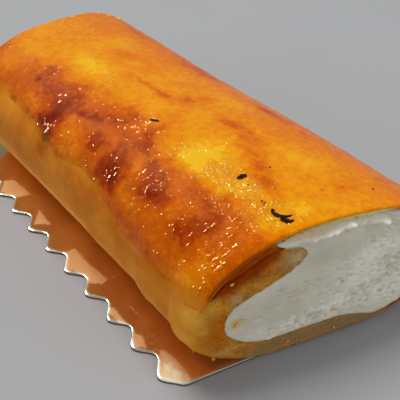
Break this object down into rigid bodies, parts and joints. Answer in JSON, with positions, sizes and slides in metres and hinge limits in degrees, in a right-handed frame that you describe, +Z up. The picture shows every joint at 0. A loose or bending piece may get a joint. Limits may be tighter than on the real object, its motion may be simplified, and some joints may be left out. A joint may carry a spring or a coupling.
{
  "type": "cream swiss roll",
  "caption": "Cut sponge roll filled with whipped cream, under a toasted egg-yolk skin, lying on a wavy-edged gold card.",
  "frame": {"origin": "under the middle of the whole part's box, on the underside of the card", "axes": "+X along the roll to its near cut, +Y to the right of it, +Z up"},
  "size_m": [0.2466, 0.136, 0.0702],
  "materials": {
    "sponge": "soft baked sponge, satin where it is steamed, porous where cut",
    "cream": "dull whipped cream, dragged by the knife",
    "yolk_skin": "wet gloss over toasted egg yolk, caramelised in patches",
    "gold_card": "mirror-like gold foil on card"
  },
  "bodies": {
    "root": {"sponge": "sponge", "cream": "cream", "yolk_skin": "yolk_skin", "cake_card": "gold_card"}
  },
  "joints": []
}
